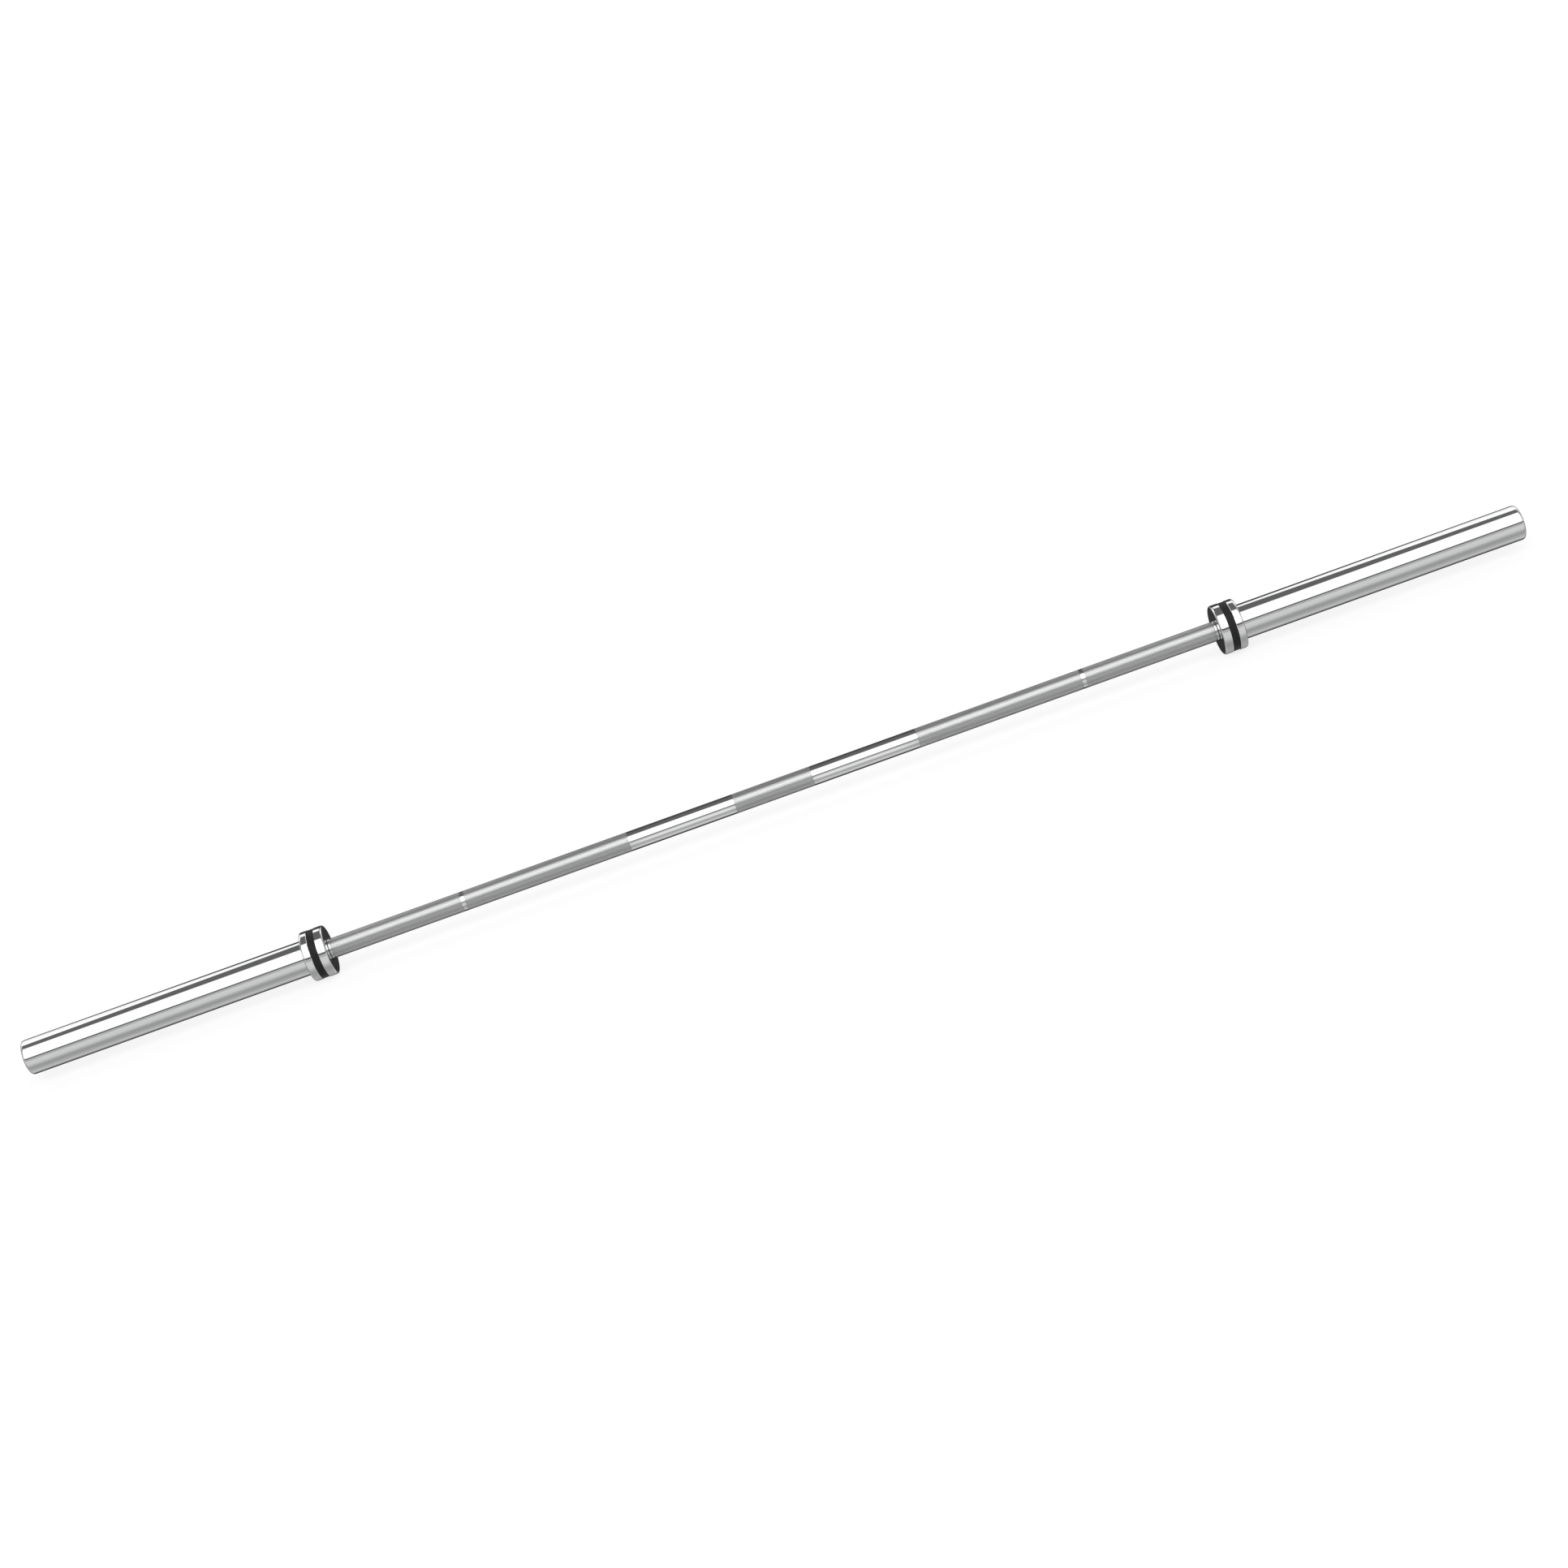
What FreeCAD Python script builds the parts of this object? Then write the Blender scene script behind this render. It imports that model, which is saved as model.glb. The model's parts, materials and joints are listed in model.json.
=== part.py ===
"""An olympic barbell: a knurled shaft and two sleeves that turn on a bush and needle roller bearings.

The bar lies along X with its middle at the origin and +Z up. Every piece of one end is drawn at the
right end, outwards along +X, and the left end is its mirror image.
"""

import FreeCAD, Part
import math
import os
from FreeCAD import Vector

# Whole bar
overall_length = 2200.0
collar_spacing = 1306.0
grip_diameter = 28.0
sleeve_diameter = 50.0

# Knurled and smooth stretches of the shaft, with each knurl drawn at its root
centre_knurl_length = 114.0
knurl_gap_spacing = 424.6
ring_mark_spacing = 912.0
ring_mark_width = 5.7
knurl_depth = 0.3
neck_length = 0.5

# Shaft ends inside the sleeves
shoulder_step = 1.5
shoulder_chamfer = 0.4
journal_chamfer = 1.0
centre_hole_radius = 3.0
centre_hole_depth = 5.2
shaft_end_gap = 3.0

# Thrust ring between the shaft's shoulder and the collar
thrust_ring_width = 3.2
thrust_ring_lip = 1.0
thrust_ring_rounding = 0.7
running_gap = 0.3

# Collar and its rubber band
collar_width = 34.0
collar_rise = 10.75
collar_web = 5.0
collar_rounding = 3.0
collar_bore_clearance = 0.5
band_setback = 12.4
band_width = 10.3
band_groove_depth = 4.0
band_recess = 0.1
band_rounding = 0.5
groove_edge_chamfer = 0.5

# Sleeve tube
root_groove_width = 1.5
root_groove_depth = 0.6
sleeve_end_rounding = 4.0
middle_bore_relief = 2.0
bore_chamfer = 0.5

# Bronze bush behind the collar
bush_length = 25.0
bush_clearance = 0.03
bush_chamfer = 0.6
grease_groove_width = 6.0
grease_groove_depth = 0.6

# Needle roller bearings
needle_count = 18
needle_diameter = 2.5
needle_length = 15.2
race_clearance = 0.02
cup_length = 20.0
cup_wall = 1.0
cup_corner = 0.8
lip_clearance = 0.5
cage_wall = 1.3
cage_clearance = 0.05
cage_end_play = 0.2

# End washer and the snap ring that keeps the sleeve on the shaft
washer_thickness = 2.0
washer_clearance = 0.1
washer_edge_gap = 0.5
shaft_tail = 3.6
shaft_ring_thickness = 1.2
shaft_ring_groove_depth = 0.55
shaft_ring_room = 0.45
ring_play = 0.1

# End cap and the snap ring that holds it
cap_thickness = 6.0
cap_clearance = 0.05
cap_chamfer = 1.0
cap_dish_depth = 0.8
end_lip = 4.0
cap_ring_thickness = 1.75

# Shares of the sizes that small features follow
cap_bore_share = 0.44
cap_groove_share = 0.25
cap_dish_share = 0.62
ring_thick_share = 0.84
ring_thin_share = 0.5
lug_hole_share = 0.26
ring_gap_share = 0.22

overrun = 1.0

# Radii, worked out from the journal outwards
grip_radius = grip_diameter / 2
knurl_radius = grip_radius - knurl_depth
journal_radius = grip_radius - shoulder_step
race_radius = journal_radius + needle_diameter
pitch_radius = journal_radius + needle_diameter / 2
seat_radius = race_radius + cup_wall
middle_bore_radius = seat_radius - middle_bore_relief
sleeve_radius = sleeve_diameter / 2
sleeve_wall = sleeve_radius - seat_radius
cap_bore_radius = seat_radius + sleeve_wall * cap_bore_share
cap_groove_radius = cap_bore_radius + (sleeve_radius - cap_bore_radius) * cap_groove_share
collar_radius = sleeve_radius + collar_rise
band_groove_radius = collar_radius - band_groove_depth

# Places along the right half of the bar, worked outwards from the collar
collar_face = collar_spacing / 2
shaft_shoulder = collar_face - running_gap - thrust_ring_width
sleeve_start = collar_face + collar_web
bush_end = sleeve_start + bush_length
inner_seat_end = bush_end + cup_length

# Places along the right half of the bar, worked inwards from the sleeve's end
sleeve_end = overall_length / 2
cap_groove_width = cap_ring_thickness + ring_play
cap_face = sleeve_end - end_lip - cap_groove_width
cap_seat = cap_face - cap_thickness
shaft_end = cap_seat - shaft_end_gap
shaft_ring_face = shaft_end - shaft_tail - shaft_ring_thickness
washer_face = shaft_ring_face - washer_thickness
outer_seat_end = washer_face - running_gap
outer_seat_start = outer_seat_end - cup_length


def turned(*corners):
    """Solid of revolution about the bar's axis from (along, radius) or (along, radius, rounding) corners."""
    points = [Vector(corner[0], 0, corner[1]) for corner in corners]
    roundings = [corner[2] if len(corner) > 2 else 0 for corner in corners]
    runs = []
    for i, point in enumerate(points):
        back = (points[i - 1] - point).normalize()
        ahead = (points[(i + 1) % len(points)] - point).normalize()
        half_angle = back.getAngle(ahead) / 2
        reach = roundings[i] / math.tan(half_angle)
        middle = (back + ahead).normalize() * (roundings[i] / math.sin(half_angle) - roundings[i])
        runs.append((point + back * reach, point + middle, point + ahead * reach))
    edges = []
    for i, (start, middle, end) in enumerate(runs):
        if roundings[i]:
            edges.append(Part.Arc(start, middle, end).toShape())
        edges.append(Part.makeLine(end, runs[(i + 1) % len(runs)][0]))
    return Part.Face(Part.Wire(edges)).revolve(Vector(), Vector(1, 0, 0), 360)


def plug(along, length, radius, height=0):
    """Plain cylinder along the bar, its axis raised above the bar's by height."""
    return Part.makeCylinder(radius, length, Vector(along, 0, height), Vector(1, 0, 0))


def turned_about_bar(shape, degrees):
    copy = shape.copy()
    copy.rotate(Vector(), Vector(1, 0, 0), degrees)
    return copy


def shaft():
    """The whole shaft: its right half's corners, mirrored, in one turned profile."""
    ring_mark_start = (ring_mark_spacing - ring_mark_width) / 2
    knurls = (
        (knurl_gap_spacing / 2, ring_mark_start),
        (ring_mark_start + ring_mark_width, shaft_shoulder - neck_length),
    )
    half = [(centre_knurl_length / 2 - knurl_depth, knurl_radius), (centre_knurl_length / 2, grip_radius)]
    for start, end in knurls:
        half += [(start, grip_radius), (start + knurl_depth, knurl_radius)]
        half += [(end - knurl_depth, knurl_radius), (end, grip_radius)]
    half += [
        (shaft_shoulder, grip_radius, shoulder_chamfer),
        (shaft_shoulder, journal_radius),
        (shaft_ring_face - ring_play, journal_radius),
        (shaft_ring_face - ring_play, journal_radius - shaft_ring_groove_depth),
        (shaft_end - shaft_tail, journal_radius - shaft_ring_groove_depth),
        (shaft_end - shaft_tail, journal_radius),
        (shaft_end - journal_chamfer, journal_radius),
        (shaft_end, journal_radius - journal_chamfer),
        (shaft_end, centre_hole_radius),
        (shaft_end - centre_hole_depth, 0),
    ]
    mirrored = [(-corner[0], *corner[1:]) for corner in reversed(half)]
    return turned(*mirrored, *half)


def thrust_ring():
    outside = grip_radius + thrust_ring_lip
    return turned(
        (shaft_shoulder, journal_radius),
        (shaft_shoulder, outside, thrust_ring_rounding),
        (shaft_shoulder + thrust_ring_width, outside, thrust_ring_rounding),
        (shaft_shoulder + thrust_ring_width, journal_radius),
    )


def collar():
    """Flange with a web that covers the sleeve's inner end and a groove for the rubber band."""
    outer_face = collar_face + collar_width
    groove_start = collar_face + band_setback
    groove_end = groove_start + band_width
    bore = journal_radius + collar_bore_clearance
    return turned(
        (collar_face, bore),
        (collar_face, collar_radius, collar_rounding),
        (groove_start - groove_edge_chamfer, collar_radius),
        (groove_start, collar_radius - groove_edge_chamfer),
        (groove_start, band_groove_radius),
        (groove_end, band_groove_radius),
        (groove_end, collar_radius - groove_edge_chamfer),
        (groove_end + groove_edge_chamfer, collar_radius),
        (outer_face, collar_radius, collar_rounding),
        (outer_face, sleeve_radius),
        (sleeve_start, sleeve_radius),
        (sleeve_start, bore),
    )


def collar_band():
    start = collar_face + band_setback
    outside = collar_radius - groove_edge_chamfer - band_recess
    return turned(
        (start, band_groove_radius),
        (start, outside, band_rounding),
        (start + band_width, outside, band_rounding),
        (start + band_width, band_groove_radius),
    )


def sleeve():
    """Tube bored from both ends for the bush, bearings and end cap, with a groove outside the collar's root."""
    root = collar_face + collar_width
    rounding = min(sleeve_end_rounding, sleeve_radius - cap_bore_radius - 2 * bore_chamfer)
    return turned(
        (sleeve_start, sleeve_radius),
        (root, sleeve_radius),
        (root, sleeve_radius - root_groove_depth),
        (root + root_groove_width, sleeve_radius - root_groove_depth),
        (root + root_groove_width, sleeve_radius),
        (sleeve_end, sleeve_radius, rounding),
        (sleeve_end, cap_bore_radius + bore_chamfer),
        (sleeve_end - bore_chamfer, cap_bore_radius),
        (cap_face + cap_groove_width, cap_bore_radius),
        (cap_face + cap_groove_width, cap_groove_radius),
        (cap_face, cap_groove_radius),
        (cap_face, cap_bore_radius),
        (cap_seat, cap_bore_radius),
        (cap_seat, seat_radius),
        (outer_seat_start, seat_radius),
        (outer_seat_start, middle_bore_radius),
        (inner_seat_end, middle_bore_radius),
        (inner_seat_end, seat_radius),
        (sleeve_start, seat_radius),
    )


def inner_bush():
    bore = journal_radius + bush_clearance
    groove_start = sleeve_start + (bush_length - grease_groove_width) / 2
    groove_end = groove_start + grease_groove_width
    return turned(
        (sleeve_start, bore + bush_chamfer),
        (sleeve_start, seat_radius - bush_chamfer),
        (sleeve_start + bush_chamfer, seat_radius),
        (bush_end - bush_chamfer, seat_radius),
        (bush_end, seat_radius - bush_chamfer),
        (bush_end, bore + bush_chamfer),
        (bush_end - bush_chamfer, bore),
        (groove_end, bore),
        (groove_end, bore + grease_groove_depth),
        (groove_start, bore + grease_groove_depth),
        (groove_start, bore),
        (sleeve_start + bush_chamfer, bore),
    )


def bearing_cup(start):
    """Drawn cup: a thin shell turned in at both ends to keep the cage."""
    end = start + cup_length
    lip_radius = journal_radius + lip_clearance
    return turned(
        (start, lip_radius),
        (start, seat_radius, cup_corner),
        (end, seat_radius, cup_corner),
        (end, lip_radius),
        (end - cup_wall, lip_radius),
        (end - cup_wall, race_radius),
        (start + cup_wall, race_radius),
        (start + cup_wall, lip_radius),
    )


def bearing_cage(start):
    """Ring with one pocket for each needle."""
    cage_start = start + cup_wall + cage_end_play
    cage_end = start + cup_length - cup_wall - cage_end_play
    ring = turned(
        (cage_start, pitch_radius - cage_wall / 2),
        (cage_start, pitch_radius + cage_wall / 2),
        (cage_end, pitch_radius + cage_wall / 2),
        (cage_end, pitch_radius - cage_wall / 2),
    )
    pocket_length = needle_length + 2 * cage_clearance
    pocket_width = needle_diameter + 2 * cage_clearance
    corner = Vector((cage_start + cage_end - pocket_length) / 2, -pocket_width / 2, pitch_radius - cage_wall)
    pocket = Part.makeBox(pocket_length, pocket_width, 2 * cage_wall, corner)
    return ring.cut([turned_about_bar(pocket, 360 * i / needle_count) for i in range(needle_count)])


def needles(start):
    radius = needle_diameter / 2 - race_clearance
    needle = plug(start + (cup_length - needle_length) / 2, needle_length, radius, pitch_radius)
    return Part.makeCompound([turned_about_bar(needle, 360 * i / needle_count) for i in range(needle_count)])


def end_washer():
    inside = journal_radius + washer_clearance
    outside = seat_radius - washer_edge_gap
    return turned(
        (washer_face, inside),
        (washer_face, outside),
        (shaft_ring_face, outside),
        (shaft_ring_face, inside),
    )


def with_lugs(ring, start, thickness, lug_radius, lug_height, gap):
    """Opens a snap ring at the top and adds a lug with a plier hole on each side of the gap."""
    lean = math.degrees(math.asin((gap / 2 + lug_radius) / lug_height))
    lug = plug(start, thickness, lug_radius, lug_height)
    hole = plug(start - overrun, thickness + 2 * overrun, 2 * lug_radius * lug_hole_share, lug_height)
    ring = ring.fuse([turned_about_bar(lug, lean), turned_about_bar(lug, -lean)])
    corner = Vector(start - overrun, -gap / 2, 0)
    opening = Part.makeBox(thickness + 2 * overrun, gap, sleeve_radius, corner)
    return ring.cut([opening, turned_about_bar(hole, lean), turned_about_bar(hole, -lean)]).removeSplitter()


def retaining_ring():
    """Snap ring on the shaft, thickest opposite its gap, with lugs that stay clear of the sleeve's bore."""
    inside = journal_radius - shaft_ring_groove_depth
    room = seat_radius - shaft_ring_room - inside
    thick = room * ring_thick_share
    thin = room * ring_thin_share
    start = shaft_ring_face
    bore = plug(start - overrun, shaft_ring_thickness + 2 * overrun, inside)
    disc = plug(start, shaft_ring_thickness, inside + (thick + thin) / 2, (thin - thick) / 2)
    lugs = (room / 2, inside + room / 2, inside * ring_gap_share)
    return with_lugs(disc, start, shaft_ring_thickness, *lugs).cut(bore)


def end_cap():
    """Plain turned disc with a shallow dish in its outer face."""
    outside = cap_bore_radius - cap_clearance
    dish_radius = outside * cap_dish_share
    return turned(
        (cap_seat, 0),
        (cap_seat, outside),
        (cap_face - cap_chamfer, outside),
        (cap_face, outside - cap_chamfer),
        (cap_face, dish_radius + cap_dish_depth),
        (cap_face - cap_dish_depth, dish_radius),
        (cap_face - cap_dish_depth, 0),
    )


def cap_ring():
    """Internal snap ring in the sleeve's groove, thickest opposite its gap."""
    outside = cap_groove_radius - cap_clearance
    room = outside * ring_gap_share
    thick = room * ring_thick_share
    thin = room * ring_thin_share
    disc = plug(cap_face, cap_ring_thickness, outside)
    hole_radius = outside - (thick + thin) / 2
    hole = plug(cap_face - overrun, cap_ring_thickness + 2 * overrun, hole_radius, (thick - thin) / 2)
    lug_radius = room / 2
    lugs = (lug_radius, outside - room + lug_radius / 2, room)
    return with_lugs(disc.cut(hole), cap_face, cap_ring_thickness, *lugs).common(disc)


def end_pieces():
    """The pieces of the right end by name."""
    pieces = {
        "thrust_ring": thrust_ring(),
        "collar": collar(),
        "collar_band": collar_band(),
        "sleeve": sleeve(),
        "inner_bush": inner_bush(),
        "end_washer": end_washer(),
        "retaining_ring": retaining_ring(),
        "end_cap": end_cap(),
        "cap_ring": cap_ring(),
    }
    for place, start in (("inner", bush_end), ("outer", outer_seat_start)):
        pieces[f"{place}_bearing_cup"] = bearing_cup(start)
        pieces[f"{place}_bearing_cage"] = bearing_cage(start)
        pieces[f"{place}_needles"] = needles(start)
    return pieces


os.makedirs("parts", exist_ok=True)
shaft().exportStep("parts/shaft.step")
for name, piece in end_pieces().items():
    piece.exportStep(f"parts/right_{name}.step")
    piece.mirror(Vector(), Vector(1, 0, 0)).exportStep(f"parts/left_{name}.step")
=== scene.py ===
"""Looks of the olympic barbell: turned chrome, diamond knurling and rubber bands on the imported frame."""

import json
import math

import bmesh
import bpy
from mathutils import Matrix, Vector


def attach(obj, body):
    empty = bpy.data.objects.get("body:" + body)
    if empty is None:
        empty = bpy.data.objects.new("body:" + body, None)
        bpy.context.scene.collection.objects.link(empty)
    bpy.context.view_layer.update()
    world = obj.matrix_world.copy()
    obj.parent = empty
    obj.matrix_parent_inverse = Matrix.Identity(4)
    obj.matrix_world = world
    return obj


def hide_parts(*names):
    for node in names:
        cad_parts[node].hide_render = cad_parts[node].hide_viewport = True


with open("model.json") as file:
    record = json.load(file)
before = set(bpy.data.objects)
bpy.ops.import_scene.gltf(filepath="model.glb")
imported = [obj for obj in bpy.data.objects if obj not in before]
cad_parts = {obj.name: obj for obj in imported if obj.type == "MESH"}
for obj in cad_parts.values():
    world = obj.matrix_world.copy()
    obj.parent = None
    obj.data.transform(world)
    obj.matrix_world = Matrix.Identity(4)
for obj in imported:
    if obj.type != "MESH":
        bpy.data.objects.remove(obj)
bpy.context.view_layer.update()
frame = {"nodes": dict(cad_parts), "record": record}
bpy.context.scene.view_settings.view_transform = "Standard"

MM = 0.001
AXIS = (1, 0, 0)
SIDES = {"left": -1, "right": 1}

# Turned pieces, in millimetres like all pieces below, with places counted from the bar's middle
TURN_STEPS = 160
ROUNDING_STEPS = 6
ROUNDING_GUARD = 0.15
MERGE = 0.001
SHARP_EDGE = math.radians(30)

# Shaft
GRIP_RADIUS = 14.0
JOURNAL_RADIUS = 12.5
SHOULDER = 649.5
SHOULDER_EDGE = 0.2
SHAFT_END = 1085.15
SHAFT_CHAMFER = 1.0
CENTRE_DRILL_RADIUS = 3.0
CENTRE_DRILL_DEPTH = 5.2
RING_GROOVE_START = 1080.25
RING_GROOVE_END = 1081.55
RING_GROOVE_RADIUS = 11.95

# Knurls: their places, their beds in the shaft and their diamonds
CENTRE_KNURL = 57.0
KNURLS = {"inner": (212.3, 453.15), "outer": (458.85, 649.0)}
KNURL_BED = 13.55
BED_EDGE = 0.1
DIAMONDS_AROUND = 48
DIAMOND_CORNERS = 4
DIAMOND_LENGTH = 3.14
DIAMOND_HEIGHT = 0.19
DIAMOND_SLOPE = 0.15
BLOCK_ROWS = 12
KNURL_ROOT = 13.8
KNURL_END_GAP = 0.1
KNURL_RUN_OUT = 0.35
KNURL_SINK = 0.955
WELD = 0.03

# Neck ring between the shaft's shoulder and the collar
NECK_RING_WIDTH = 3.2
NECK_RING_RADIUS = 15.0
NECK_RING_ROUNDING = 0.7

# Collar and its rubber band
COLLAR_FACE = 653.0
COLLAR_END = 687.0
COLLAR_RADIUS = 35.75
COLLAR_ROUNDING = 3.0
COLLAR_BORE = 13.0
FACE_DEPTH = 1.0
FACING = 0.99
BAND_START = 665.4
BAND_END = 675.7
BAND_BED = 31.75
BAND_RADIUS = 35.15
BAND_ROUNDING = 0.5
BAND_CHAMFER = 0.5

# Sleeve
SLEEVE_START = 658.0
SLEEVE_END = 1100.0
SLEEVE_RADIUS = 25.0
END_ROUNDING = 4.0
ROOT_GROOVE_WIDTH = 1.5
ROOT_GROOVE_RADIUS = 24.4
ROOT_GROOVE_EDGE = 0.15
BEARING_BORE = 16.0
MIDDLE_BORE = 14.0
MIDDLE_BORE_START = 703.0
MIDDLE_BORE_END = 1058.05

# End disc, its seat in the sleeve's end and the groove of the ring over it
DISC_SEAT = SLEEVE_END - 11.85
DISC_FACE = SLEEVE_END - 5.85
DISC_RADIUS = 19.91
DISC_CHAMFER = 1.0
DISH_RADIUS = 13.14
DISH_DEPTH = 0.8
SEAT_RADIUS = 19.96
SEAT_CHAMFER = 0.5
CAP_GROOVE_END = SLEEVE_END - 4.0
CAP_GROOVE_RADIUS = 21.22

# Turned metal: noise for each metre, its share of colour and gloss, and the rings' depth
RING_SCALE = 2600.0
RING_DETAIL = 1.0
RING_SHADE = 0.03
RING_GLOSS = 0.03
RING_DEPTH = 0.02
SMUDGE_SCALE = 22.0
SMUDGE_DETAIL = 4.0
SMUDGE_SHADE = 0.05

# Grain of the knurl and of the rubber, the painted shade in the knurl's valleys and the gloss of its crests
GRAIN_DETAIL = 3.0
KNURL_GRAIN_SCALE = 900.0
KNURL_GRAIN = 0.1
# Painted shade: the share of the knurl's colour left in its valleys
VALLEY_PAINTED_SHADE = 0.72
VALLEY_MARGIN = 0.05
CREST_GLOSS = 0.03
RUBBER_GRAIN_SCALE = 1400.0
RUBBER_GRAIN_SHADE = 0.3
RUBBER_GRAIN_GLOSS = 0.1
RUBBER_GRAIN_DEPTH = 0.05
RUBBER_RELIEF = 0.25
RUBBER_SHINE = 0.15
PATCH_SCALE = 60.0
PATCH_SHADE = 0.5
PATCH_GLOSS = 0.15


class Wire:
    """A shader socket that Python's operators work on, and the tree that it belongs to."""

    def __init__(self, tree, socket=None):
        self.tree = tree
        self.socket = socket

    def node(self, kind, inputs=(), output=0, stops=(), **settings):
        """Adds a node: its settings first, then the values or links of its sockets."""
        made = self.tree.nodes.new("ShaderNode" + kind)
        for name, value in settings.items():
            setattr(made, name, value)
        for place, (position, value) in enumerate(stops):
            if place > 1:
                made.color_ramp.elements.new(position)
            made.color_ramp.elements[place].position = position
            made.color_ramp.elements[place].color = (value, value, value, 1)
        for name, value in dict(inputs).items():
            if isinstance(value, Wire):
                self.tree.links.new(value.socket, made.inputs[name])
            else:
                made.inputs[name].default_value = value
        return Wire(self.tree, made.outputs[output] if len(made.outputs) else None)

    def math(self, operation, *values):
        return self.node("Math", enumerate(values), operation=operation)

    def __add__(self, other):
        return self.math("ADD", self, other)

    def __sub__(self, other):
        return self.math("SUBTRACT", self, other)

    def __rsub__(self, other):
        return self.math("SUBTRACT", other, self)

    def __mul__(self, other):
        return self.math("MULTIPLY", self, other)

    def __truediv__(self, other):
        return self.math("DIVIDE", self, other)

    __radd__ = __add__
    __rmul__ = __mul__

    def __abs__(self):
        return self.math("ABSOLUTE", self)

    def parts(self):
        """The X, Y and Z of a vector."""
        return [self.node("SeparateXYZ", {"Vector": self}, output=axis) for axis in "XYZ"]

    def step(self, low, high):
        """0 below low, 1 above high and smooth between them."""
        inputs = {"Value": self, "From Min": low, "From Max": high}
        return self.node("MapRange", inputs, interpolation_type="SMOOTHSTEP")

    def within(self, low, rise, fall, high):
        """1 between rise and fall, 0 outside low and high."""
        return self.step(low, rise) * (1 - self.step(fall, high))

    def ramp(self, stops):
        """A value read off (place, value) stops, straight between them."""
        return self.node("ValToRGB", {"Fac": self}, stops=stops)

    def mix(self, factor, start, end):
        """The start where the factor is 0, the end where it is 1."""
        return self.node("Mix", {"Factor": factor, "A": start, "B": end}, data_type="FLOAT")

    def noise(self, vector, scale, detail):
        """Noise about 0, from about -0.5 to 0.5."""
        inputs = {"Vector": vector, "Scale": scale, "Detail": detail}
        return self.node("TexNoise", inputs) - 0.5

    def shaded(self, colour, shade):
        """A colour times a share that varies over the surface."""
        return self.node("VectorMath", {0: colour, "Scale": shade}, operation="SCALE")


def new_material(name):
    """A material with an empty tree, that tree, and the place on the piece."""
    material = bpy.data.materials.new(name)
    material.use_nodes = True
    material.node_tree.nodes.clear()
    graph = Wire(material.node_tree)
    return material, graph, graph.node("TexCoord", output="Object")


def from_axis(across, up):
    """Distance from the bar's axis."""
    squares = across * across + up * up
    return squares.math("SQRT", squares)


def metal(name, colour, roughness, edge_tint, smudge=0.04, relief=0.05):
    """Turned metal: fine rings round the bar's axis, and soft smudges in its gloss and colour."""
    material, graph, place = new_material(name)
    along, across, up = place.parts()
    turned = graph.node("CombineXYZ", {"X": along, "Y": from_axis(across, up)})
    rings = graph.noise(turned, RING_SCALE, RING_DETAIL)
    smudges = graph.noise(place, SMUDGE_SCALE, SMUDGE_DETAIL)
    shader = graph.node("BsdfPrincipled", {
        "Base Color": graph.shaded(colour, 1 + smudges * SMUDGE_SHADE + rings * RING_SHADE),
        "Metallic": 1.0,
        "Roughness": roughness + smudges * smudge + rings * RING_GLOSS,
        "Specular Tint": (edge_tint, edge_tint, edge_tint, 1),
        "Normal": graph.node("Bump", {"Strength": relief, "Distance": RING_DEPTH * MM, "Height": rings}),
    })
    graph.node("OutputMaterial", {"Surface": shader})
    return material


def knurl_metal(name, colour, roughness, edge_tint):
    """Chrome over knurling: valleys darker than the crests by a painted shade, and a little duller."""
    material, graph, place = new_material(name)
    _, across, up = place.parts()
    # Crest is 1 on the diamonds' tops and 0 in the valleys; the valleys' darker colour below is painted shade
    crest = from_axis(across, up).step((KNURL_ROOT - VALLEY_MARGIN) * MM, GRIP_RADIUS * MM)
    grain = graph.noise(place, KNURL_GRAIN_SCALE, GRAIN_DETAIL) * KNURL_GRAIN
    shader = graph.node("BsdfPrincipled", {
        "Base Color": graph.shaded(colour, VALLEY_PAINTED_SHADE + crest * (1 - VALLEY_PAINTED_SHADE) + grain),
        "Metallic": 1.0,
        "Roughness": roughness - crest * CREST_GLOSS + grain,
        "Specular Tint": (edge_tint, edge_tint, edge_tint, 1),
    })
    graph.node("OutputMaterial", {"Surface": shader})
    return material


def rubber(name, colour, roughness):
    """Smooth moulded rubber with a fine grain."""
    material, graph, place = new_material(name)
    grain = graph.noise(place, RUBBER_GRAIN_SCALE, GRAIN_DETAIL)
    patches = graph.noise(place, PATCH_SCALE, GRAIN_DETAIL)
    relief = {"Strength": RUBBER_RELIEF, "Distance": RUBBER_GRAIN_DEPTH * MM, "Height": grain}
    shader = graph.node("BsdfPrincipled", {
        "Base Color": graph.shaded(colour, 1 + patches * PATCH_SHADE + grain * RUBBER_GRAIN_SHADE),
        "Roughness": roughness + patches * PATCH_GLOSS + grain * RUBBER_GRAIN_GLOSS,
        "Specular IOR Level": RUBBER_SHINE,
        "Normal": graph.node("Bump", relief),
    })
    graph.node("OutputMaterial", {"Surface": shader})
    return material


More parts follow.
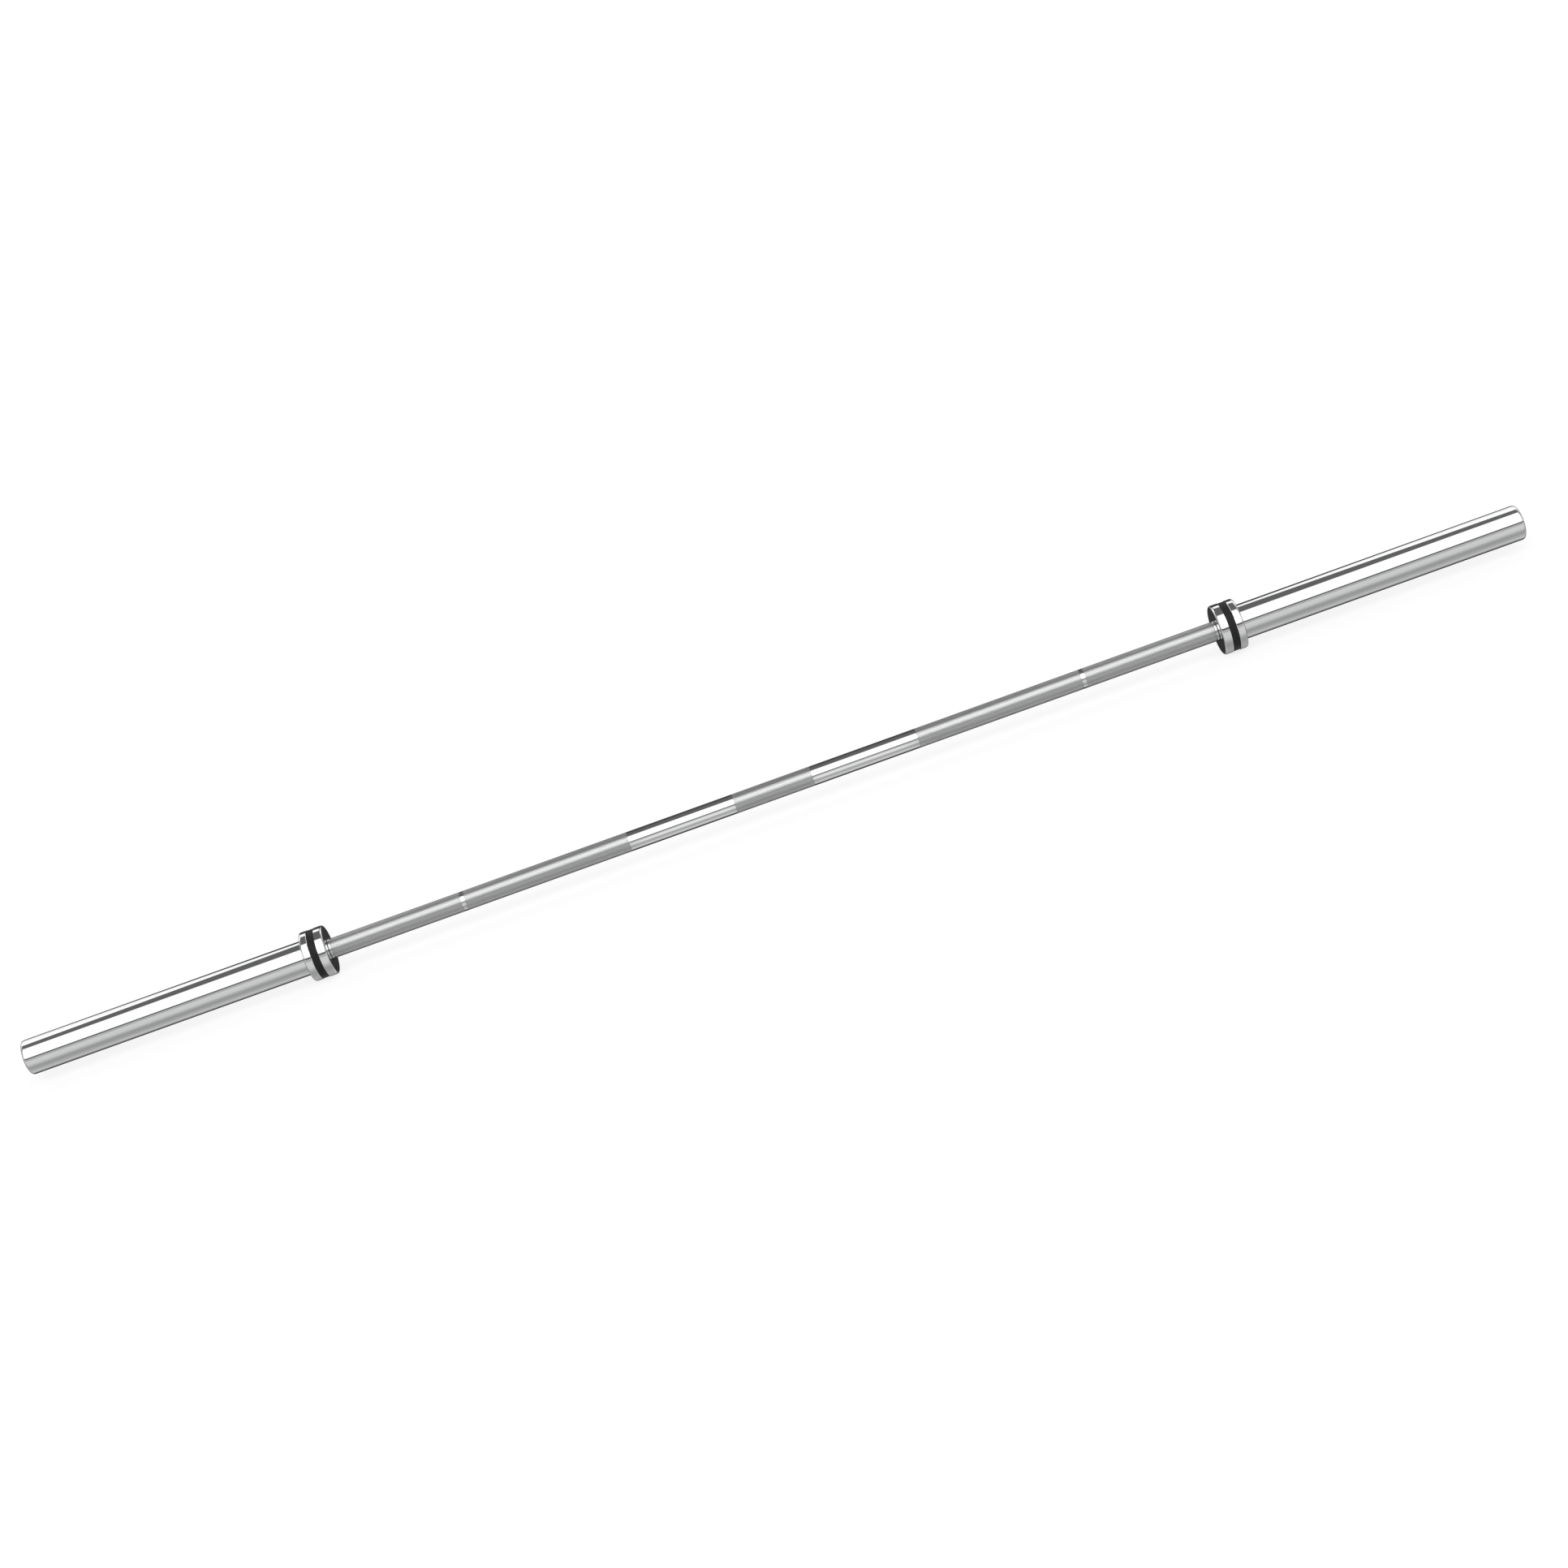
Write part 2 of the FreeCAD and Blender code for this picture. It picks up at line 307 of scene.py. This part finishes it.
CHROME = (0.55, 0.556, 0.554)
# The knurl's chrome is darker than plain chrome: painted shade
KNURL_CHROME_PAINTED_DARKER = (0.42, 0.4245, 0.423)
BRONZE = (0.62, 0.42, 0.2)
BEARING_STEEL = (0.5, 0.5, 0.51)
SPRING_STEEL = (0.09, 0.09, 0.095)
BLACK_RUBBER = (0.0095, 0.0095, 0.01)
chrome = metal("chrome_polished", CHROME, roughness=0.06, edge_tint=0.4)
chrome_face = metal("chrome_collar_face", CHROME, roughness=0.08, edge_tint=1.0)
chrome_knurl = knurl_metal("chrome_knurled", KNURL_CHROME_PAINTED_DARKER, roughness=0.38, edge_tint=0.2)
band_rubber = rubber("black_rubber", BLACK_RUBBER, roughness=0.55)
slot_looks = {
    "chrome": chrome,
    "band_rubber": band_rubber,
    "bronze": metal("bearing_bronze", BRONZE, roughness=0.3, edge_tint=0.8, relief=0.2),
    "bearing_steel": metal("ground_bearing_steel", BEARING_STEEL, roughness=0.16, edge_tint=0.8),
    "spring_steel": metal("blackened_spring_steel", SPRING_STEEL, roughness=0.34, edge_tint=0.5, smudge=0.1),
}
for subpart in frame["record"]["subparts"]:
    node_mesh = frame["nodes"][subpart["node"]].data
    node_mesh.materials.clear()
    node_mesh.materials.append(slot_looks[subpart["material_slot"]])


def add_piece(name, bm, looks, body, slot, *nodes, smooth=True):
    """Makes a bmesh a piece that rides on a body and stands for the named nodes."""
    mesh = bpy.data.meshes.new(name)
    bm.to_mesh(mesh)
    bm.free()
    if smooth:
        mesh.shade_smooth()
        mesh.set_sharp_from_angle(angle=SHARP_EDGE)
    for look in looks:
        mesh.materials.append(look)
    piece = bpy.data.objects.new(name, mesh)
    bpy.context.scene.collection.objects.link(piece)
    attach(piece, body)
    if nodes:
        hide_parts(*nodes)


def lathe(corners, side=1, closed=True):
    """Turned shape from (along, radius) or (along, radius, rounding) corners in millimetres."""
    points = [Vector((side * along, 0, radius)) for along, radius, *_ in corners]
    bm = bmesh.new()
    profile, rounded = [], []
    for i, point in enumerate(points):
        rounding = sum(corners[i][2:])
        neighbours = (points[i - 1], None, points[(i + 1) % len(points)]) if rounding else (None,)
        for neighbour in neighbours:
            if neighbour:
                reach = (neighbour - point).normalized() * (rounding + ROUNDING_GUARD)
                profile.append(bm.verts.new((point + reach) * MM))
            else:
                profile.append(bm.verts.new(point * MM))
                if rounding:
                    rounded.append((profile[-1], rounding * MM))
    for start, end in zip(profile, profile[1:] + profile[:1] * closed):
        bm.edges.new((start, end))
    for vert, rounding in rounded:
        bmesh.ops.bevel(bm, geom=[vert], offset=rounding, segments=ROUNDING_STEPS, profile=0.5,
                        affect="VERTICES", material=-1)
    bmesh.ops.spin(bm, geom=bm.verts[:] + bm.edges[:], axis=AXIS, angle=math.tau, steps=TURN_STEPS,
                   use_merge=True)
    bmesh.ops.remove_doubles(bm, verts=bm.verts, dist=MERGE * MM)
    bmesh.ops.recalc_face_normals(bm, faces=bm.faces)
    return bm


def knurl(start, end):
    """Tube of raised diamonds between two places along the bar, closed by a wall inside the shaft."""
    bm = bmesh.new()
    half_turn = math.pi / DIAMONDS_AROUND
    half_length = DIAMOND_LENGTH / 2
    # One diamond, then a ring of them, a block of rings each half a diamond on, and the blocks
    bmesh.ops.create_circle(bm, cap_ends=True, segments=DIAMOND_CORNERS, radius=MM)
    bmesh.ops.scale(bm, vec=(half_length, KNURL_ROOT * math.tan(half_turn), 1), verts=bm.verts)
    bmesh.ops.translate(bm, vec=(start * MM, 0, KNURL_ROOT * MM), verts=bm.verts)
    bmesh.ops.inset_individual(bm, faces=bm.faces[:], thickness=DIAMOND_SLOPE * MM,
                               depth=DIAMOND_HEIGHT * MM)
    blocks = math.ceil(((end - start) / half_length + 1) / BLOCK_ROWS)
    repeats = ((DIAMONDS_AROUND, 2, 0), (BLOCK_ROWS, 1, 1), (blocks, BLOCK_ROWS, BLOCK_ROWS))
    for copies, turns, rows in repeats:
        bmesh.ops.spin(bm, geom=bm.verts[:] + bm.edges[:] + bm.faces[:], axis=AXIS, steps=copies - 1,
                       angle=half_turn * turns * (copies - 1), dvec=(half_length * rows * MM, 0, 0),
                       use_duplicate=True)
    bmesh.ops.remove_doubles(bm, verts=bm.verts, dist=WELD * MM)
    # Both ends cut square, run out into the shaft and joined by the wall
    ends = []
    inset = KNURL_END_GAP + KNURL_RUN_OUT
    for place, way in ((start + inset, -1), (end - inset, 1)):
        bmesh.ops.bisect_plane(bm, geom=bm.verts[:] + bm.edges[:] + bm.faces[:], plane_co=(place * MM, 0, 0),
                               plane_no=(way, 0, 0), clear_outer=True)
        rim = [edge for edge in bm.edges if edge.is_boundary
               and all(abs(vert.co.x - place * MM) < MM * WELD for vert in edge.verts)]
        run_out = bmesh.ops.extrude_edge_only(bm, edges=rim)["geom"]
        verts = [part for part in run_out if isinstance(part, bmesh.types.BMVert)]
        bmesh.ops.scale(bm, vec=(1, KNURL_SINK, KNURL_SINK), verts=verts)
        bmesh.ops.translate(bm, vec=(way * KNURL_RUN_OUT * MM, 0, 0), verts=verts)
        ends += [part for part in run_out if isinstance(part, bmesh.types.BMEdge) and part.is_boundary]
    bmesh.ops.bridge_loops(bm, edges=ends)
    bmesh.ops.recalc_face_normals(bm, faces=bm.faces)
    return bm


# Shaft: its right half's corners, with a bed under each knurl, and their mirror image
right_half = [(CENTRE_KNURL, KNURL_BED), (CENTRE_KNURL, GRIP_RADIUS, BED_EDGE)]
for knurl_start, knurl_end in KNURLS.values():
    right_half += [(knurl_start, GRIP_RADIUS, BED_EDGE), (knurl_start, KNURL_BED)]
    right_half += [(knurl_end, KNURL_BED), (knurl_end, GRIP_RADIUS, BED_EDGE)]
right_half += [
    (SHOULDER, GRIP_RADIUS, SHOULDER_EDGE),
    (SHOULDER, JOURNAL_RADIUS),
    (RING_GROOVE_START, JOURNAL_RADIUS),
    (RING_GROOVE_START, RING_GROOVE_RADIUS),
    (RING_GROOVE_END, RING_GROOVE_RADIUS),
    (RING_GROOVE_END, JOURNAL_RADIUS),
    (SHAFT_END - SHAFT_CHAMFER, JOURNAL_RADIUS),
    (SHAFT_END, JOURNAL_RADIUS - SHAFT_CHAMFER),
    (SHAFT_END, CENTRE_DRILL_RADIUS),
    (SHAFT_END - CENTRE_DRILL_DEPTH, 0),
]
left_half = [(-corner[0], *corner[1:]) for corner in reversed(right_half)]
add_piece("shaft_bar", lathe(left_half + right_half, closed=False), [chrome], "shaft", "chrome", "shaft")

# Knurling over the shaft's beds
spans = {"centre_knurl": (-CENTRE_KNURL, CENTRE_KNURL)}
for place, (knurl_start, knurl_end) in KNURLS.items():
    spans[f"left_{place}_knurl"] = (-knurl_end, -knurl_start)
    spans[f"right_{place}_knurl"] = (knurl_start, knurl_end)
for name, span in spans.items():
    add_piece(name, knurl(*span), [chrome_knurl], "shaft", "chrome", smooth=False)

# Neck rings, collars, bands, sleeves and end discs
neck_ring = [
    (SHOULDER, JOURNAL_RADIUS),
    (SHOULDER, NECK_RING_RADIUS, NECK_RING_ROUNDING),
    (SHOULDER + NECK_RING_WIDTH, NECK_RING_RADIUS, NECK_RING_ROUNDING),
    (SHOULDER + NECK_RING_WIDTH, JOURNAL_RADIUS),
]
flange = [
    (COLLAR_FACE, COLLAR_BORE),
    (COLLAR_FACE, COLLAR_RADIUS, COLLAR_ROUNDING),
    (BAND_START - BAND_CHAMFER, COLLAR_RADIUS),
    (BAND_START, COLLAR_RADIUS - BAND_CHAMFER),
    (BAND_START, BAND_BED),
    (BAND_END, BAND_BED),
    (BAND_END, COLLAR_RADIUS - BAND_CHAMFER),
    (BAND_END + BAND_CHAMFER, COLLAR_RADIUS),
    (COLLAR_END, COLLAR_RADIUS, COLLAR_ROUNDING),
    (COLLAR_END, SLEEVE_RADIUS),
    (SLEEVE_START, SLEEVE_RADIUS),
    (SLEEVE_START, COLLAR_BORE),
]
band = [
    (BAND_START, BAND_BED),
    (BAND_START, BAND_RADIUS, BAND_ROUNDING),
    (BAND_END, BAND_RADIUS, BAND_ROUNDING),
    (BAND_END, BAND_BED),
]
tube = [
    (SLEEVE_START, SLEEVE_RADIUS),
    (COLLAR_END, SLEEVE_RADIUS),
    (COLLAR_END, ROOT_GROOVE_RADIUS),
    (COLLAR_END + ROOT_GROOVE_WIDTH, ROOT_GROOVE_RADIUS),
    (COLLAR_END + ROOT_GROOVE_WIDTH, SLEEVE_RADIUS, ROOT_GROOVE_EDGE),
    (SLEEVE_END, SLEEVE_RADIUS, END_ROUNDING),
    (SLEEVE_END, SEAT_RADIUS + SEAT_CHAMFER),
    (SLEEVE_END - SEAT_CHAMFER, SEAT_RADIUS),
    (CAP_GROOVE_END, SEAT_RADIUS),
    (CAP_GROOVE_END, CAP_GROOVE_RADIUS),
    (DISC_FACE, CAP_GROOVE_RADIUS),
    (DISC_FACE, SEAT_RADIUS),
    (DISC_SEAT, SEAT_RADIUS),
    (DISC_SEAT, BEARING_BORE),
    (MIDDLE_BORE_END, BEARING_BORE),
    (MIDDLE_BORE_END, MIDDLE_BORE),
    (MIDDLE_BORE_START, MIDDLE_BORE),
    (MIDDLE_BORE_START, BEARING_BORE),
    (SLEEVE_START, BEARING_BORE),
]
disc = [
    (DISC_SEAT, 0),
    (DISC_SEAT, DISC_RADIUS),
    (DISC_FACE - DISC_CHAMFER, DISC_RADIUS),
    (DISC_FACE, DISC_RADIUS - DISC_CHAMFER),
    (DISC_FACE, DISH_RADIUS),
    (DISC_FACE - DISH_DEPTH, DISH_RADIUS - DISH_DEPTH),
    (DISC_FACE - DISH_DEPTH, 0),
]
for side, sign in SIDES.items():
    sleeve_body = f"{side}_sleeve_assembly"
    add_piece(f"{side}_neck_ring", lathe(neck_ring, sign), [chrome], "shaft", "chrome", f"{side}_thrust_ring")
    flange_bm = lathe(flange, sign)
    for face in flange_bm.faces:
        inward = face.normal.x * sign < -FACING
        in_front = face.calc_center_median().x * sign < (COLLAR_FACE + FACE_DEPTH) * MM
        face.material_index = int(inward and in_front)
    add_piece(f"{side}_flange", flange_bm, [chrome, chrome_face], sleeve_body, "chrome", f"{side}_collar")
    add_piece(f"{side}_rubber_band", lathe(band, sign), [band_rubber], sleeve_body, "band_rubber",
              f"{side}_collar_band")
    add_piece(f"{side}_tube", lathe(tube, sign), [chrome], sleeve_body, "chrome", f"{side}_sleeve")
    add_piece(f"{side}_end_disc", lathe(disc, sign, closed=False), [chrome], sleeve_body, "chrome",
              f"{side}_end_cap")

# Floor under the collars, in metres: its own tone, and how white the eye and the metal see it
FLOOR_HALF = 200.0
FLOOR_TONE = 0.88
FLOOR_WHITENESS = 0.83
MIRRORED_WHITENESS = 0.7
WHITE = 1.0

# What the metal mirrors of the floor: painted light and painted shadow, as (millimetres behind the bar,
# tone), by the shaft's smooth stretches and elsewhere, and how far aside of the bar's middle the smooth ones
# hold, in metres
MIRRORED_REACH = 200.0
UNDER_PAINTED_LIGHT_AND_SHADOW = [(-19, 1.1), (-13, 0.86), (-6, 0.32), (-2, 0.1), (12, 0.1), (30, 0.42), (200, 0.62)]
SMOOTH_PAINTED_LIGHT_AND_SHADOW = [
    (-200, 1.3), (-95, 1.25), (-75, 0.95), (-56, 0.69), (-46, 0.62), (-36, 0.75), (-28, 0.94),
] + UNDER_PAINTED_LIGHT_AND_SHADOW
OUTER_PAINTED_LIGHT_AND_SHADOW = [
    (-200, 1.03), (-95, 0.99), (-75, 0.82), (-56, 0.62), (-46, 0.56), (-36, 0.62), (-28, 0.74), (-23, 0.85),
] + UNDER_PAINTED_LIGHT_AND_SHADOW
SMOOTH_ASIDE = (0.05, 0.07, 0.19, 0.23)

# Painted shadows on the floor, seen only in the metal's reflections, behind the shaft next to the collars and
# behind the bar's ends: reach aside and behind, in metres
PAINTED_SHADOWS = [
    ((0.5, 0.56, 0.653, 0.6535), (-0.004, 0.004, 0.4, 0.6)),
    ((1.11, 1.13, 1.4, 1.5), (0.055, 0.085, 0.4, 0.6)),
]
PAINTED_SHADOW_TONE = 0.05

floor_bm = bmesh.new()
bmesh.ops.create_grid(floor_bm, x_segments=1, y_segments=1, size=FLOOR_HALF)
bmesh.ops.translate(floor_bm, vec=(0, 0, -COLLAR_RADIUS * MM), verts=floor_bm.verts)
floor_mesh = bpy.data.meshes.new("floor")
floor_bm.to_mesh(floor_mesh)
floor_bm.free()
floor_look, graph, place = new_material("pale_floor")
along, behind, _ = place.parts()
aside = abs(along)
share = 0.5 + behind / (MIRRORED_REACH * MM * 2)
outer_painted_tone, smooth_painted_tone = (
    share.ramp([(0.5 + distance / MIRRORED_REACH / 2, painted_tone) for distance, painted_tone in tones])
    for tones in (OUTER_PAINTED_LIGHT_AND_SHADOW, SMOOTH_PAINTED_LIGHT_AND_SHADOW)
)
# Glossy rays alone see these painted tones: a painted shadow under the bar and painted light above 1
painted_tone = graph.mix(aside.within(*SMOOTH_ASIDE), outer_painted_tone, smooth_painted_tone)
# Painted shadows behind the collars and past the bar's ends, seen only in reflections
for reach_aside, reach_behind in PAINTED_SHADOWS:
    painted_tone = graph.mix(aside.within(*reach_aside) * behind.within(*reach_behind), painted_tone, PAINTED_SHADOW_TONE)
mirrored = graph.node("LightPath", output="Is Glossy Ray")
painted_tone = graph.mix(mirrored, WHITE, painted_tone)
pale = graph.node("BsdfDiffuse", {"Color": painted_tone * FLOOR_TONE})
# Where the metal mirrors it, the floor glows with the painted light and shadow
white = graph.node("Emission", {"Color": painted_tone, "Strength": WHITE})
seen = graph.node("LightPath", output="Is Camera Ray") + graph.node("LightPath", output="Is Transmission Ray")
whiteness = seen * FLOOR_WHITENESS + mirrored * MIRRORED_WHITENESS
graph.node("OutputMaterial", {"Surface": graph.node("MixShader", {"Fac": whiteness, 1: pale, 2: white})})
floor_mesh.materials.append(floor_look)
floor = bpy.data.objects.new("floor", floor_mesh)
bpy.context.scene.collection.objects.link(floor)

# Studio: long soft panels along the bar, as (degrees up from the front, level), and further aside
NEAR_PANELS = [
    (0, 0.75), (11, 0.75), (13, 0.16), (18, 0.16), (22, 1.95), (30, 1.95), (38, 3.2), (66, 3.2), (74, 1.95),
    (83, 1.95), (87, 0.21), (120, 0.21), (126, 0.2), (149, 0.11), (177, 0.11), (179, 0.75),
]
SIDE_PANELS = [
    (0, 0.75), (11, 0.75), (13, 0.3), (18, 0.3), (23, 1.4), (81, 1.4), (87, 0.55), (114, 0.55), (119, 1.75),
    (127, 3), (144, 3), (150, 1.75), (157, 1.75), (160, 0.3), (176, 0.3), (179, 0.75),
]
FAR_PANELS = [
    (0, 0.75), (11, 0.75), (13, 0.2), (18, 0.2), (23, 1.4), (81, 1.4), (86, 0.3), (117, 0.3), (122, 1.45),
    (157, 1.45), (160, 0.25), (176, 0.25), (179, 0.75),
]
SIDE_ASIDE = (0.31, 0.34)
FAR_ASIDE = (0.52, 0.58)
BRIGHTEST = 3.2
HALF_TURN = 180

# One more panel behind the bar: a wedge that opens away from its tip, in degrees for each share aside
WEDGE_LEVEL = 1.95
WEDGE_EDGE = (-2, 2)
WEDGE_DOWN = 174.0
WEDGE_UP = 139.0
TIP_ASIDE = 0.1252
TIP_TURN = 143.8


def panels(turn, levels):
    """Level of a row of panels by the turn round the bar, as a share of the brightest."""
    return (turn / HALF_TURN).ramp([(place / HALF_TURN, level / BRIGHTEST) for place, level in levels])


world = bpy.data.worlds.new("studio")
world.use_nodes = True
world.node_tree.nodes.clear()
graph = Wire(world.node_tree)
along, across, up = graph.node("TexCoord", output="Generated").parts()
turn = up.math("ARCTAN2", up, across * -1) * math.degrees(1)
aside = abs(along)
opening = aside - TIP_ASIDE
above_foot = (turn - TIP_TURN + opening * WEDGE_DOWN).step(*WEDGE_EDGE)
below_top = (TIP_TURN - turn + opening * WEDGE_UP).step(*WEDGE_EDGE)
level = graph.mix(above_foot * below_top, panels(turn, NEAR_PANELS), WEDGE_LEVEL / BRIGHTEST)
level = graph.mix(aside.step(*SIDE_ASIDE), level, panels(turn, SIDE_PANELS))
level = graph.mix(aside.step(*FAR_ASIDE), level, panels(turn, FAR_PANELS))
studio = graph.node("Background", {"Color": level, "Strength": BRIGHTEST})
white = graph.node("Background", {"Color": (1, 1, 1, 1), "Strength": WHITE})
seen = graph.node("LightPath", output="Is Camera Ray")
graph.node("OutputWorld", {"Surface": graph.node("MixShader", {"Fac": seen, 1: studio, 2: white})})
bpy.context.scene.world = world

# Camera: square to the bar, looking down on it and rolled so that the bar climbs to the right
LOOK_DOWN = math.radians(22)
BAR_CLIMB = math.radians(19.766)
DISTANCE = 3.55
FRAME_WIDTH = 2.1764
OFF_CENTRE = (0.01465, 0.00817)
SENSOR = 36.0
SIGHT = 1000
back = Vector((0, -math.cos(LOOK_DOWN), math.sin(LOOK_DOWN)))
level_right = Vector(AXIS)
level_up = back.cross(level_right)
right = level_right * math.cos(BAR_CLIMB) - level_up * math.sin(BAR_CLIMB)
top = level_right * math.sin(BAR_CLIMB) + level_up * math.cos(BAR_CLIMB)
turned_camera = Matrix((right, top, back)).transposed().to_4x4()
stand = back * DISTANCE + right * OFF_CENTRE[0] + top * OFF_CENTRE[1]
camera = bpy.data.objects.new("camera", bpy.data.cameras.new("camera"))
camera.data.sensor_width = SENSOR
camera.data.lens = SENSOR * DISTANCE / FRAME_WIDTH
camera.data.clip_end = SIGHT
camera.matrix_world = Matrix.Translation(stand) @ turned_camera
bpy.context.scene.collection.objects.link(camera)
bpy.context.scene.camera = camera
